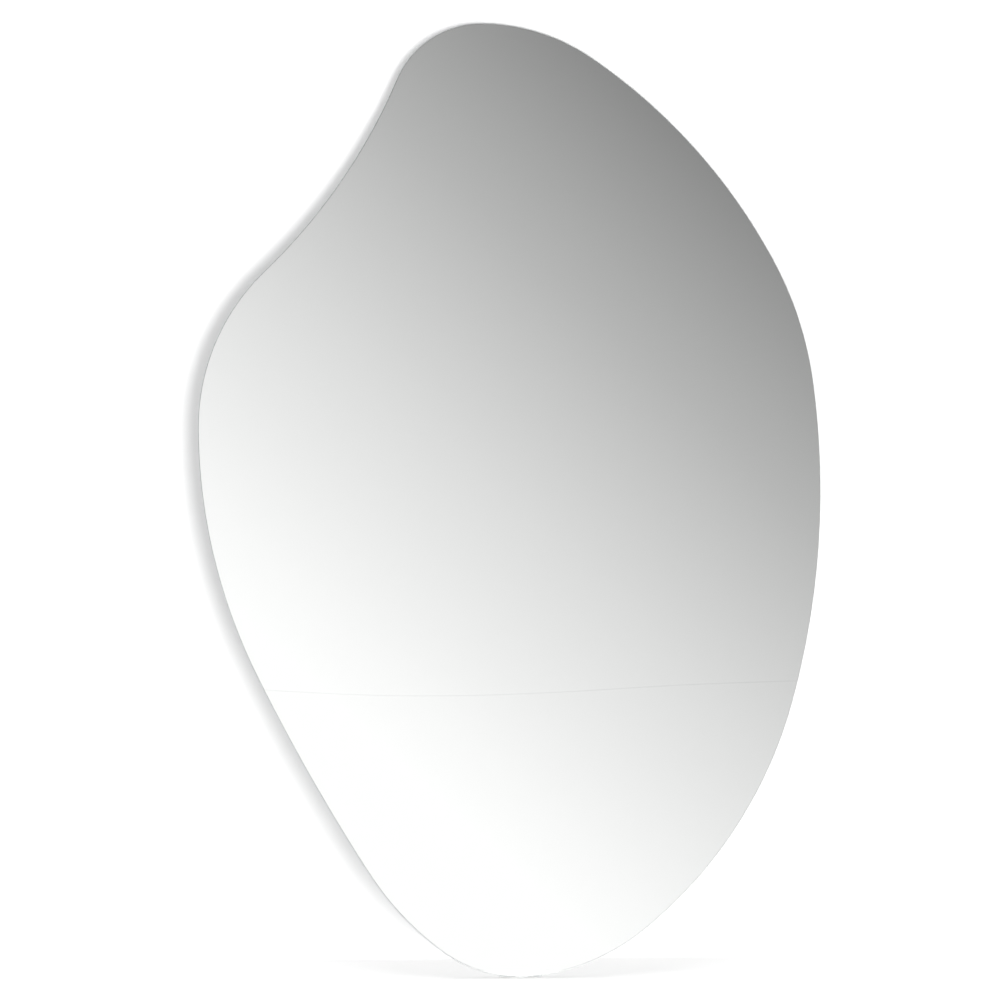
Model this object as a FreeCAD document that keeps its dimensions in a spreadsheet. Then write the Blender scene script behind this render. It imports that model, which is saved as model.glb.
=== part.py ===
import FreeCAD, Part
import math
import os
import re

import Sketcher

# A frameless, irregular shaped full-length mirror that stands on the floor and leans on a wall.
#
# Lengths are in millimetres and angles in degrees. X runs to the right seen from the front, Y from the
# mirror's face towards the wall, Z up. The origin lies on the floor, under the middle of the outline and half
# way through the depth. The pane's free outline is a closed chain of arcs that run smoothly into each other,
# and every sheet behind the pane follows the same arcs, set in by its own amount.

Vector = FreeCAD.Vector

SIZES = {
    # The outline's three circles with a set centre. Heights are measured from the pane's lowest point.
    "crown_x": -45,
    "crown_z": 1355,
    "crown_r": 145,
    "temple_x": -151,
    "temple_z": 867,
    "temple_r": 339,
    "foot_x": 17,
    "foot_r": 210,
    # The arcs that carry on from those circles and from each other.
    "top_r": 310,
    "shoulder_r": 900,
    "brow_r": 550,
    "side_r": 1270,
    "cheek_r": 880,
    "ball_r": 335,
    "heel_r": 475,
    "waist_hollow_r": 920,
    # Where such an arc ends: how far the outline has turned there from straight up, right, down or left.
    "top_tilt": 34,
    "shoulder_tilt": 28,
    "brow_tilt": 8,
    "side_tilt": 15,
    "foot_right_tilt": 7,
    "foot_left_tilt": 37,
    "cheek_tilt": 26,
    # The pane with its ground edge, the silvering and the safety film.
    "floor_gap": 1,
    "glass_thickness": 5,
    "edge_land": 0.4,
    "coating_thickness": 0.1,
    "coating_margin": 0.7,
    "film_thickness": 0.2,
    "film_margin": 2,
    # The glue joint: upright strips of foam tape with beads of adhesive between them.
    "glue_gap": 1.5,
    "glue_margin": 15,
    "strip_count": 6,
    "tape_width": 25,
    "bead_width": 12,
    # The backing board.
    "board_thickness": 12,
    "board_inset": 10,
    "board_chamfer": 3,
    # The hanger plates, let flush into the board: each has a keyhole with its entry below the slot.
    "hanger_spacing": 400,
    "hanger_height": 1130,
    "plate_width": 26,
    "plate_height": 72,
    "plate_thickness": 2,
    "plate_corner": 6,
    "plate_fit": 0.3,
    "entry_r": 5.5,
    "entry_drop": 10,
    "slot_width": 5.5,
    "slot_rise": 16,
    "well_width": 14,
    "well_depth": 6,
    # The countersunk screws that hold the plates.
    "screw_span": 56,
    "screw_r": 1.75,
    "screw_head_r": 3.4,
    "screw_length": 9.5,
    "screw_fit": 0.1,
    # The bumpers that touch the wall.
    "bumper_r": 10,
    "bumper_height": 3,
    "bumper_chamfer": 1,
    "bumper_margin": 25,
    "bumper_lean": 30,
    # The pads under the board, which carry the mirror.
    "pad_spacing": 44,
    "pad_width": 24,
    "pad_setback": 1,
}

# The outline's arcs, counter-clockwise seen from the front, each with the coordinates of its centre that the
# sketch dimensions. The smooth joints settle the others.
ARCS = {
    "crown": "xz",
    "waist": "",
    "temple": "xz",
    "cheek": "z",
    "flank": "",
    "heel": "x",
    "foot": "xz",
    "ball": "x",
    "hip": "",
    "side": "z",
    "brow": "z",
    "shoulder": "x",
    "top": "x",
}

# Each bumper lies inside an arc of the outline, in this direction from the arc's centre.
BUMPERS = {
    "upper_left": ("crown", "90 + bumper_lean"),
    "upper_right": ("brow", "shoulder_tilt"),
    "lower_right": ("side", "-side_tilt"),
    "lower_left": ("cheek", "180 + cheek_tilt"),
}

SIDES = {"left": -1, "right": 1}


# ---------------------------------------------------------------- sizes that follow from the others


def grown(arc, base, direction):
    """Cells for the centre of an arc that carries on smoothly from another, where that faces a direction."""
    return {
        f"{arc}_x": f"{base}_x - ({arc}_r - {base}_r) * cos({direction})",
        f"{arc}_z": f"{base}_z - ({arc}_r - {base}_r) * sin({direction})",
    }


def joining(arc, base, direction, goal):
    """Cells for an arc that also runs on smoothly into a third one, which settles its radius."""
    return {
        f"{arc}_start_x": f"{base}_x + {base}_r * cos({direction}) - {goal}_x",
        f"{arc}_start_z": f"{base}_z + {base}_r * sin({direction}) - {goal}_z",
        f"{arc}_reach": f"{arc}_start_x * cos({direction}) + {arc}_start_z * sin({direction}) - {goal}_r",
        f"{arc}_r": f"({arc}_start_x^2 + {arc}_start_z^2 - {goal}_r^2) / {arc}_reach / 2",
        **grown(arc, base, direction),
    }


DERIVED = {
    # The right-hand side, from the crown down to the foot.
    **grown("top", "crown", "90"),
    **grown("shoulder", "top", "90 - top_tilt"),
    **grown("brow", "shoulder", "shoulder_tilt"),
    **grown("side", "brow", "brow_tilt"),
    "foot_z": "foot_r",
    **grown("ball", "foot", "foot_right_tilt - 90"),
    **joining("hip", "side", "-side_tilt", "ball"),
    # The left-hand side, from the temple down to the foot.
    **grown("cheek", "temple", "180"),
    **grown("heel", "foot", "-90 - foot_left_tilt"),
    **joining("flank", "cheek", "180 + cheek_tilt", "heel"),
    # The hollow arc between the crown and the temple. A radius below zero marks an arc as hollow.
    "waist_r": "-waist_hollow_r",
    "waist_to_crown": "waist_hollow_r + crown_r",
    "waist_to_temple": "waist_hollow_r + temple_r",
    "left_x": "temple_x - crown_x",
    "left_z": "temple_z - crown_z",
    "left_span": "sqrt(left_x^2 + left_z^2)",
    "waist_along": "(waist_to_crown^2 - waist_to_temple^2 + left_span^2) / left_span / 2",
    "waist_across": "sqrt(waist_to_crown^2 - waist_along^2)",
    "waist_x": "crown_x + (waist_along * left_x + waist_across * left_z) / left_span",
    "waist_z": "crown_z + (waist_along * left_z - waist_across * left_x) / left_span",
    # The layers, from the pane's face to the wall.
    "depth": "glass_thickness + coating_thickness + film_thickness + glue_gap + board_thickness"
    " + bumper_height",
    "glass_y": "-depth / 2",
    "coating_y": "glass_y + glass_thickness",
    "film_y": "coating_y + coating_thickness",
    "glue_y": "film_y + film_thickness",
    "board_y": "glue_y + glue_gap",
    "rear_y": "board_y + board_thickness",
    "edge_round": "(glass_thickness - edge_land) / 2",
    "coating_inset": "edge_round + coating_margin",
    "film_inset": "coating_inset + film_margin",
    "glue_inset": "board_inset + glue_margin",
    "glue_left": "temple_x - temple_r + glue_inset",
    "glue_right": "side_x + side_r - glue_inset",
    "strip_pitch": "(glue_right - glue_left) / strip_count",
    # The hanger plates, their seats in the board and their screws.
    "plate_z": "hanger_height + entry_drop",
    "plate_half_x": "plate_width / 2",
    "plate_half_z": "plate_height / 2",
    "seat_half_x": "plate_half_x + plate_fit",
    "seat_half_z": "plate_half_z + plate_fit",
    "seat_corner": "plate_corner + plate_fit",
    "slot_r": "slot_width / 2",
    "slot_end": "slot_rise - entry_drop",
    "well_r": "well_width / 2",
    "screw_z": "screw_span / 2",
    "screw_neck": "screw_head_r - screw_r",
    "screw_hole_r": "screw_r + screw_fit",
    "screw_hole_depth": "screw_length + screw_fit",
}


def named(formula):
    """The formula with each size's name turned into the name of its cell."""
    return re.sub(r"[a-z]\w+", lambda word: f"Sizes.{word[0]}" if word[0] in CELLS else word[0], formula)


def make_sheet():
    """Write every size into one sheet, with its name beside it."""
    sheet = doc.addObject("Spreadsheet::Sheet", "Sizes")
    for row, name in enumerate(CELLS, start=1):
        sheet.set(f"A{row}", name)
        sheet.setAlias(f"B{row}", name)
    for row, value in enumerate(CELLS.values(), start=1):
        sheet.set(f"B{row}", f"={value}" if isinstance(value, str) else str(value))
    doc.recompute()
    return sheet


def size(name):
    """The present value of a size; a minus sign before its name turns it round."""
    if name == "0":
        return 0.0
    value = float(getattr(sheet, name.lstrip("-")))
    return -value if name.startswith("-") else value


def tie(thing, target, formula):
    """Bind a property of a thing, or a sketch's constraint, to a formula in the sizes' names."""
    thing.setExpression(target, named(formula))


# ---------------------------------------------------------------- sketches


def origin_part(body, role):
    """A plane or an axis of the body's own origin."""
    return next(item for item in body.Origin.OriginFeatures if item.Role == role)


def add_sketch(body, name, plane="XZ_Plane", x="0", z="0", depth="0"):
    """An empty sketch in a plane of the body. In the upright plane, depth counts towards the wall."""
    sketch = body.newObject("Sketcher::SketchObject", f"{body.Label}_{name}")
    sketch.AttachmentSupport = (origin_part(body, plane), [""])
    sketch.MapMode = "FlatFace"
    tie(sketch, "AttachmentOffset.Base.x", x)
    tie(sketch, "AttachmentOffset.Base.y", z)
    tie(sketch, "AttachmentOffset.Base.z", f"-({depth})")
    return sketch


def dimension(sketch, kind, where, value, formula):
    """Add a dimension with its first value and tie it to a formula."""
    number = sketch.addConstraint(Sketcher.Constraint(kind, *where, value))
    sketch.renameConstraint(number, f"{kind}_{number}")
    tie(sketch, f"Constraints.{kind}_{number}", formula)


def place_point(sketch, element, point, x, z):
    """Dimension a point from the sketch's origin, or put it on an axis where a coordinate is 0."""
    for kind, axis, name in (("DistanceX", -2, x), ("DistanceY", -1, z)):
        if name == "0":
            sketch.addConstraint(Sketcher.Constraint("PointOnObject", element, point, axis))
        elif name:
            dimension(sketch, kind, (-1, 1, element, point), size(name), name)


def add_arc(sketch, centre, radius, start, end):
    """A counter-clockwise arc about a centre, from the direction of one point to that of another."""
    first = math.atan2(start.y - centre.y, start.x - centre.x)
    last = math.atan2(end.y - centre.y, end.x - centre.x)
    if last <= first:
        last += 2 * math.pi
    circle = Part.Circle(centre, Vector(0, 0, 1), radius)
    return sketch.addGeometry(Part.ArcOfCircle(circle, first, last), False)


def add_line(sketch, start, end):
    """A straight line between two points."""
    return sketch.addGeometry(Part.LineSegment(start, end), False)


def draw_outline(body, inset):
    """The mirror's outline as thirteen arcs that run smoothly into each other, set in by a named size."""
    sketch = add_sketch(body, "outline")
    names = list(ARCS)
    centres = [Vector(size(f"{arc}_x"), size(f"{arc}_z"), 0) for arc in names]
    radii = [size(f"{arc}_r") - size(inset) for arc in names]
    joints = []
    for number in range(len(names)):
        r0, r1 = radii[number - 1], radii[number]
        joints.append((centres[number - 1] * r1 - centres[number] * r0) / (r1 - r0))
    ends = []
    for number, arc in enumerate(names):
        start, end = joints[number], joints[(number + 1) % len(names)]
        hollow = radii[number] < 0
        if hollow:
            start, end = end, start
        add_arc(sketch, centres[number], abs(radii[number]), start, end)
        ends.append((2, 1) if hollow else (1, 2))
    for number, arc in enumerate(names):
        after = (number + 1) % len(names)
        joint = (number, ends[number][1], after, ends[after][0])
        sketch.addConstraint(Sketcher.Constraint("Tangent", *joint))
    for number, (arc, placed) in enumerate(ARCS.items()):
        formula = f"{inset} - {arc}_r" if radii[number] < 0 else f"{arc}_r - {inset}"
        dimension(sketch, "Radius", (number,), abs(radii[number]), formula)
        x = f"{arc}_x" if "x" in placed else None
        z = f"{arc}_z" if "z" in placed else None
        place_point(sketch, number, 3, x, z)
    return sketch


def draw_profile(sketch, corners):
    """A closed polygon whose corners are given by the names of their coordinates."""
    points = [Vector(size(x), size(z), 0) for x, z in corners]
    for number, point in enumerate(points):
        add_line(sketch, point, points[(number + 1) % len(points)])
    for number in range(len(points)):
        sketch.addConstraint(Sketcher.Constraint("Coincident", number, 2, (number + 1) % len(points), 1))
    for number, (x, z) in enumerate(corners):
        place_point(sketch, number, 1, x, z)


def draw_rounded_rectangle(sketch, half_x, half_z, corner):
    """A rectangle about the sketch's origin with rounded corners."""
    wide, high, radius = size(half_x), size(half_z), size(corner)
    turns = ((1, 1), (-1, 1), (-1, -1), (1, -1))
    centres = [Vector(i * (wide - radius), j * (high - radius), 0) for i, j in turns]
    sides = (Vector(radius, 0, 0), Vector(0, radius, 0), Vector(-radius, 0, 0), Vector(0, -radius, 0))
    for number in range(4):
        here, after = centres[number], centres[(number + 1) % 4]
        start, end = here + sides[number], here + sides[(number + 1) % 4]
        add_arc(sketch, here, radius, start, end)
        add_line(sketch, end, after + sides[(number + 1) % 4])
    for number in range(8):
        sketch.addConstraint(Sketcher.Constraint("Tangent", number, 2, (number + 1) % 8, 1))
    for line, kind in ((1, "Horizontal"), (3, "Vertical"), (5, "Horizontal"), (7, "Vertical")):
        sketch.addConstraint(Sketcher.Constraint(kind, line))
    for arc in (0, 2, 4, 6):
        dimension(sketch, "Radius", (arc,), radius, corner)
    place_point(sketch, 1, 1, None, half_z)
    place_point(sketch, 3, 1, f"-{half_x}", None)
    place_point(sketch, 5, 1, None, f"-{half_z}")
    place_point(sketch, 7, 1, half_x, None)


def draw_slot(sketch, low, high, low_r, high_r):
    """An upright slot on the sketch's middle line, with the radii of its two ends. Where the lower end is
    the larger, it is a keyhole with straight sides."""
    keyhole = size(low_r) > size(high_r)
    foot, head = Vector(0, size(low), 0), Vector(0, size(high), 0)
    side = Vector(size(high_r), 0, 0)
    start = foot + side
    if keyhole:
        start += Vector(0, math.sqrt(size(low_r) ** 2 - size(high_r) ** 2), 0)
    mirrored = Vector(-start.x, start.y, 0)
    add_line(sketch, start, head + side)
    add_arc(sketch, head, size(high_r), head + side, head - side)
    add_line(sketch, head - side, mirrored)
    add_arc(sketch, foot, size(low_r), mirrored, start)
    sketch.addConstraint(Sketcher.Constraint("Tangent", 0, 2, 1, 1))
    sketch.addConstraint(Sketcher.Constraint("Tangent", 1, 2, 2, 1))
    joint = "Coincident" if keyhole else "Tangent"
    sketch.addConstraint(Sketcher.Constraint(joint, 2, 2, 3, 1))
    sketch.addConstraint(Sketcher.Constraint(joint, 3, 2, 0, 1))
    if keyhole:
        sketch.addConstraint(Sketcher.Constraint("Vertical", 0))
        sketch.addConstraint(Sketcher.Constraint("Vertical", 2))
    dimension(sketch, "Radius", (1,), size(high_r), high_r)
    dimension(sketch, "Radius", (3,), size(low_r), low_r)
    place_point(sketch, 1, 3, "0", high)
    place_point(sketch, 3, 3, "0", low)


def draw_screw_holes(sketch):
    """The two holes of a hanger plate, above and below the sketch's origin."""
    for number, z in enumerate(("screw_z", "-screw_z")):
        circle = Part.Circle(Vector(0, size(z), 0), Vector(0, 0, 1), size("screw_hole_r"))
        sketch.addGeometry(circle, False)
        dimension(sketch, "Radius", (number,), size("screw_hole_r"), "screw_hole_r")
        place_point(sketch, number, 3, "0", z)


# ---------------------------------------------------------------- features


def add_body(name, x="0", y="0", z="0"):
    """A body whose place is tied to formulas."""
    body = doc.addObject("PartDesign::Body", name)
    body.Label = name
    for axis, formula in (("x", x), ("y", y), ("z", z)):
        tie(body, f"Placement.Base.{axis}", formula)
    return body


def add_pad(body, sketch, length):
    """Thicken an upright sketch towards the wall."""
    pad = body.newObject("PartDesign::Pad", f"{body.Label}_pad")
    pad.Profile = sketch
    pad.Reversed = True
    tie(pad, "Length", length)
    doc.recompute()
    return pad


def add_pocket(body, name, sketch, length):
    """Cut an upright sketch into the body from its rear."""
    pocket = body.newObject("PartDesign::Pocket", f"{body.Label}_{name}")
    pocket.Profile = sketch
    pocket.Reversed = True
    tie(pocket, "Length", length)
    doc.recompute()
    return pocket


def add_revolution(body, corners):
    """Turn a profile, given in radius and depth, about the body's axis towards the wall."""
    sketch = add_sketch(body, "profile", plane="XY_Plane")
    draw_profile(sketch, corners)
    turned = body.newObject("PartDesign::Revolution", f"{body.Label}_turned")
    turned.Profile = sketch
    turned.ReferenceAxis = (sketch, ["V_Axis"])
    turned.Angle = 360
    doc.recompute()
    return turned


def flat_faces(feature, rear_only):
    """The names of the feature's rear face and, if wanted, of its front face."""
    shape = feature.Shape
    wanted = [shape.BoundBox.YMax] if rear_only else [shape.BoundBox.YMin, shape.BoundBox.YMax]
    names = []
    for number, face in enumerate(shape.Faces, start=1):
        box = face.BoundBox
        if box.YLength < 1e-6 and any(abs(box.YMax - depth) < 1e-6 for depth in wanted):
            names.append(f"Face{number}")
    return names


def soften(body, kind, target, feature, formula, rear_only):
    """Round or chamfer the edges of the feature's flat faces."""
    edge = body.newObject(f"PartDesign::{kind}", f"{body.Label}_edge")
    edge.Base = (feature, flat_faces(feature, rear_only))
    tie(edge, target, formula)
    doc.recompute()
    return edge


# ---------------------------------------------------------------- the mirror's pieces


def make_layer(name, inset, thickness, y):
    """One sheet of the mirror. Returns its body and its first solid feature."""
    body = add_body(name, y=y, z="floor_gap")
    pad = add_pad(body, draw_outline(body, inset), thickness)
    return body, pad


def make_glass():
    """The pane, with its edge ground and polished round."""
    body, pad = make_layer("mirror_glass", "0", "glass_thickness", "glass_y")
    soften(body, "Fillet", "Radius", pad, "edge_round", rear_only=False)
    return [body]


def make_backing_sheets():
    """The silvering and the safety film, which both stop short of the pane's ground edge."""
    coating = make_layer("silver_coating", "coating_inset", "coating_thickness", "coating_y")[0]
    film = make_layer("safety_film", "film_inset", "film_thickness", "film_y")[0]
    return [coating, film]


def make_upright_strip(name, field, middle, width):
    """A strip from top to bottom of the glue joint, trimmed to the field that the glue covers."""
    bar = doc.addObject("Part::Box", f"{name}_bar")
    tie(bar, "Length", width)
    tie(bar, "Width", "glue_gap")
    tie(bar, "Height", "crown_z + crown_r + floor_gap")
    tie(bar, "Placement.Base.x", f"{middle} - {width} / 2")
    tie(bar, "Placement.Base.y", "glue_y")
    strip = doc.addObject("Part::Common", name)
    strip.Label = name
    strip.Base = bar
    strip.Tool = field
    return strip


def make_glue_joint():
    """Strips of foam tape spread evenly across the board, and a bead of adhesive between each two."""
    field = make_layer("glue_field", "glue_inset", "glue_gap", "glue_y")[0]
    strips = []
    count = round(size("strip_count"))
    for number in range(1, count + 1):
        middle = f"glue_left + strip_pitch * ({number} - 1 / 2)"
        strips.append(make_upright_strip(f"tape_strip_{number}", field, middle, "tape_width"))
    for number in range(1, count):
        middle = f"glue_left + strip_pitch * {number}"
        strips.append(make_upright_strip(f"adhesive_bead_{number}", field, middle, "bead_width"))
    return strips


def make_board():
    """The backing board: chamfered at the rear, with seats for the hanger plates, a well behind each keyhole
    and pilot holes for the screws."""
    body, pad = make_layer("backing_board", "board_inset", "board_thickness", "board_y")
    soften(body, "Chamfer", "Size", pad, "board_chamfer", rear_only=True)
    at = {"x": "hanger_spacing / 2", "z": "plate_z", "depth": "board_thickness"}
    seat = add_sketch(body, "seat_sketch", **at)
    draw_rounded_rectangle(seat, "seat_half_x", "seat_half_z", "seat_corner")
    well = add_sketch(body, "well_sketch", **at)
    draw_slot(well, "-entry_drop", "slot_end", "well_r", "well_r")
    holes = add_sketch(body, "hole_sketch", **at)
    draw_screw_holes(holes)
    cuts = [
        add_pocket(body, "seat", seat, "plate_thickness"),
        add_pocket(body, "well", well, "plate_thickness + well_depth"),
        add_pocket(body, "holes", holes, "screw_hole_depth"),
    ]
    other_side = body.newObject("PartDesign::Mirrored", "backing_board_other_side")
    other_side.Originals = cuts
    other_side.MirrorPlane = (origin_part(body, "YZ_Plane"), [""])
    body.Tip = other_side
    return body


def make_hanger_plate(name, side):
    """A steel plate with a keyhole between two countersunk holes."""
    body = add_body(name, f"{side} * hanger_spacing / 2", "rear_y - plate_thickness", "floor_gap + plate_z")
    blank = add_sketch(body, "blank_sketch")
    draw_rounded_rectangle(blank, "plate_half_x", "plate_half_z", "plate_corner")
    add_pad(body, blank, "plate_thickness")
    keyhole = add_sketch(body, "keyhole_sketch", depth="plate_thickness")
    draw_slot(keyhole, "-entry_drop", "slot_end", "entry_r", "slot_r")
    add_pocket(body, "keyhole", keyhole, "plate_thickness")
    centres = add_sketch(body, "hole_sketch", depth="plate_thickness")
    draw_screw_holes(centres)
    holes = body.newObject("PartDesign::Hole", f"{name}_holes")
    holes.Profile = centres
    doc.recompute()
    holes.Reversed = True
    holes.DepthType = "ThroughAll"
    holes.HoleCutType = "Countersink"
    holes.HoleCutCustomValues = True
    holes.HoleCutCountersinkAngle = 90
    tie(holes, "Diameter", "screw_hole_r * 2")
    tie(holes, "HoleCutDiameter", "(screw_head_r + screw_fit) * 2")
    return body


def make_hanger_screws():
    """The countersunk screws above and below each plate's keyhole, their heads flush with the plate."""
    body = add_body("hanger_screws", "-hanger_spacing / 2", "rear_y", "floor_gap + plate_z - screw_z")
    corners = (
        ("0", "0"),
        ("screw_head_r", "0"),
        ("screw_r", "-screw_neck"),
        ("screw_r", "-screw_length"),
        ("0", "-screw_length"),
    )
    screw = add_revolution(body, corners)
    pattern = body.newObject("PartDesign::LinearPattern", "hanger_screws_pattern")
    pattern.Originals = [screw]
    pattern.Direction = (origin_part(body, "X_Axis"), [""])
    pattern.Direction2 = (origin_part(body, "Z_Axis"), [""])
    pattern.Occurrences = 2
    pattern.Occurrences2 = 2
    tie(pattern, "Length", "hanger_spacing")
    tie(pattern, "Length2", "screw_span")
    body.Tip = pattern
    return body


def make_bumper(name, arc, direction):
    """A soft disc with a chamfered rim, stuck to the board's rear inside an arc of the outline."""
    reach = f"({arc}_r - board_inset - bumper_margin)"
    x = f"{arc}_x + {reach} * cos({direction})"
    z = f"floor_gap + {arc}_z + {reach} * sin({direction})"
    body = add_body(name, x, "rear_y", z)
    corners = (("0", "0"), ("bumper_r", "0"), ("bumper_r", "bumper_height"), ("0", "bumper_height"))
    disc = add_revolution(body, corners)
    soften(body, "Chamfer", "Size", disc, "bumper_chamfer", rear_only=True)
    return body


def make_wall_bumpers():
    """The four bumpers, as separate solids of one piece group."""
    bumpers = doc.addObject("Part::Compound", "wall_bumpers")
    bumpers.Label = "wall_bumpers"
    bumpers.Links = [
        make_bumper(f"bumper_{corner}", arc, direction) for corner, (arc, direction) in BUMPERS.items()
    ]
    return bumpers


def make_floor_pad(name, side, board):
    """A block under the board's lower edge, which fits that edge at the top and is flat on the floor."""
    block = doc.addObject("Part::Box", f"{name}_block")
    tie(block, "Length", "pad_width")
    tie(block, "Width", "board_thickness - board_chamfer - 2 * pad_setback")
    tie(block, "Height", "floor_gap + foot_r")
    tie(block, "Placement.Base.x", f"foot_x + {side} * pad_spacing / 2 - pad_width / 2")
    tie(block, "Placement.Base.y", "board_y + pad_setback")
    pad = doc.addObject("Part::Cut", name)
    pad.Label = name
    pad.Base = block
    pad.Tool = board
    return pad


def make_mirror():
    """All pieces of the mirror."""
    board = make_board()
    pieces = make_glass() + make_backing_sheets() + make_glue_joint() + [board]
    for name, side in SIDES.items():
        pieces.append(make_hanger_plate(f"hanger_plate_{name}", side))
        pieces.append(make_floor_pad(f"floor_pad_{name}", side, board))
    return pieces + [make_hanger_screws(), make_wall_bumpers()]


# ---------------------------------------------------------------- checks and files


def check(pieces):
    """Stop if a feature failed, a cut removed nothing, a sketch is loose or a piece is not a sound solid."""
    for item in doc.Objects:
        if "Invalid" in item.State or "Error" in item.State:
            raise RuntimeError(f"{item.Label} failed: {item.State}")
        if item.TypeId in ("PartDesign::Pocket", "PartDesign::Hole"):
            if item.Shape.Volume >= item.BaseFeature.Shape.Volume - 1e-6:
                raise RuntimeError(f"{item.Label} cuts nothing")
        if item.TypeId == "Sketcher::SketchObject" and item.solve() != 0:
            raise RuntimeError(f"{item.Label} can't be solved")
    for piece in pieces:
        if piece.Shape.isNull() or not piece.Shape.isValid() or not piece.Shape.Solids:
            raise RuntimeError(f"{piece.Label} is not a sound solid")


def write(pieces):
    """Write each piece to a file of its own name."""
    os.makedirs("parts", exist_ok=True)
    for piece in pieces:
        box = piece.Shape.BoundBox
        print(
            f"{piece.Label}: {len(piece.Shape.Solids)} solid(s), {piece.Shape.Volume / 1000:.2f} cm3,"
            f" x {box.XMin:.1f} to {box.XMax:.1f}, y {box.YMin:.2f} to {box.YMax:.2f},"
            f" z {box.ZMin:.1f} to {box.ZMax:.1f}"
        )
        piece.Shape.exportStep(f"parts/{piece.Label}.step")


CELLS = {**SIZES, **DERIVED}
doc = FreeCAD.newDocument("IrregularMirror")
sheet = make_sheet()
pieces = make_mirror()
doc.recompute()
check(pieces)
write(pieces)
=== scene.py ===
import math
import random

import bmesh
import bpy
import numpy as np
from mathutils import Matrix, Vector


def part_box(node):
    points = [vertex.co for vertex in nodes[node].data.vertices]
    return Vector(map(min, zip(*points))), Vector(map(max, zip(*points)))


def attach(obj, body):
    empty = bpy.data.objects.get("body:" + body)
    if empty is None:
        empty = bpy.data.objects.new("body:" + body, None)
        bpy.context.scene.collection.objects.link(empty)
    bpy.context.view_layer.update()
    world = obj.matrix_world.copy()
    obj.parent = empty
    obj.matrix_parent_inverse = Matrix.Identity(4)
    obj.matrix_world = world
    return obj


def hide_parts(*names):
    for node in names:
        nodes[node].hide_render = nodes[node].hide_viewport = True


# A frameless mirror of free outline, which stands on the floor and leans on a wall. Lengths are in metres, in
# the mirror's own frame: X to the right, Y from its face towards the wall, Z up along the pane.

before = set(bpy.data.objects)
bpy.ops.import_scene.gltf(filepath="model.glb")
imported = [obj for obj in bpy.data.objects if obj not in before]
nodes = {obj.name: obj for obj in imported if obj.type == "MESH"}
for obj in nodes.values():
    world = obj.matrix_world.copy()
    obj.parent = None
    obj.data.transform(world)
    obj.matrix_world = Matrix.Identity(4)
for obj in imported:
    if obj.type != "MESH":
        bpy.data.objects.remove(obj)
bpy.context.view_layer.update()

MM = 0.001

# ---------------------------------------------------------------- sizes

# The camera, seen from the middle of the pane.
PHOTO_WIDTH = 1000
FOCAL_LENGTH = 3183.3
CAMERA_DISTANCE = 5.0
CAMERA_TO_LEFT = math.radians(3)
CAMERA_RISE = math.radians(1.3)
CAMERA_AIM = Vector((-0.017, -0.011, 0.754))
SENSOR_WIDTH = 36.0

# The stage. The mirror leans back by this angle, so the floor and the wall are turned in its frame.
LEAN = math.radians(4.4)
STAGE_HALF_WIDTH = 6.0
FLOOR_FRONT = 7.0
FLOOR_REAR = 6.0
WALL_HEIGHT = 6.0
PLASTER = "#F6F6F6"
FLOOR_GLOW = 0.46
FLOOR_IN_MIRROR = 0.9
WALL_GLOW = 0.24

# The lamps: an even sky, a broad light from the right in front of the mirror, one from above, and one from
# behind that shows the back to a camera there. A level is how bright a lamp makes a white surface that faces
# it. A lamp's place is how far it stands to the right, towards the wall and up.
SKY_LEVEL = 0.31
FRONT_LEVEL = 0.73
FRONT_PLACE = (0.4, -1.0, -0.1)
FRONT_SPREAD = math.radians(29)
TOP_LEVEL = 0.36
TOP_PLACE = (0.0, 0.0, 1.0)
TOP_SPREAD = math.radians(50)
REAR_LEVEL = 0.4
REAR_PLACE = (0.35, 1.0, 0.0)
REAR_SPREAD = math.radians(40)

# What the mirror reflects: a pale screen close in front of it that glows, whose grey falls off towards the
# upper right.
# That slope is painted light, a painted reflection of the studio's light falling off. The greys are keyed by
# how far, in the picture's pixels, they lie from its middle down the slope.
SCREEN_DISTANCE = 0.12
SCREEN_HALF_WIDTH = 2.6
SCREEN_HEIGHT = 2.6
SCREEN_SLOPE = math.radians(47)
SCREEN_GREYS = {
    -600: "#535353",
    -400: "#888888",
    -200: "#B5B5B5",
    0: "#DCDCDC",
    200: "#F9F9F9",
    260: "#FFFFFF",
}
SCREEN_GAIN = 1.095

# The seam where the studio's floor bends up into its screen shows as a faint line in the mirror, through
# these pixels of the picture.
SEAM_PIXELS = (
    (200, 686), (268, 690), (350, 695), (425, 696), (500, 695), (600, 690), (700, 683), (820, 680)
)
SEAM_WIDTH = 1.8 * MM
SEAM_SHADE = 0.024
SEAM_STEPS = 24

# The pane's edge: ground flat and polished, with the two arrises rounded. The silver runs almost up to the
# rear one, and its paint seals it with a narrow rim. Seen through the glass, that grey rim is also painted
# shade:
# it draws the dark line of shade along the pane's outline.
EDGE_ROUND = 1.0 * MM
EDGE_STEPS = 8
OUTLINE_STEP = 4 * MM
SILVER_INSET = 1.5 * MM
SILVER_IN_GLASS = 0.02 * MM
PAINT_INSET = 1.1 * MM

# The adhesive: how much of a bead's width comes and goes, in slow waves, and over how many steps it runs out
# at its ends.
BEAD_STEP = 6 * MM
BEAD_UNEVEN = 0.22
BEAD_WAVES = 4
BEAD_WAVE_LENGTHS = (20 * MM, 110 * MM)
BEAD_END_STEPS = 3

# The screws: a thread whose ridge rises steeply, a point some turns long with a blunt tip, and a cross recess
# that narrows as it goes down.
SCREW_SIDES = 32
HEAD_REACH = 1.65 * MM
THREAD_PITCH = 1.3 * MM
THREAD_DEPTH = 0.35 * MM
THREAD_STEPS = 8
RIDGE_STEEPNESS = 5
POINT_TURNS = 3
POINT_TIP = 0.08
RECESS_REACH = 1.9 * MM
RECESS_WIDTH = 0.75 * MM
RECESS_DEPTH = 1.3 * MM
RECESS_TAPER = 0.45
TURN_SEED = 7

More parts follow.
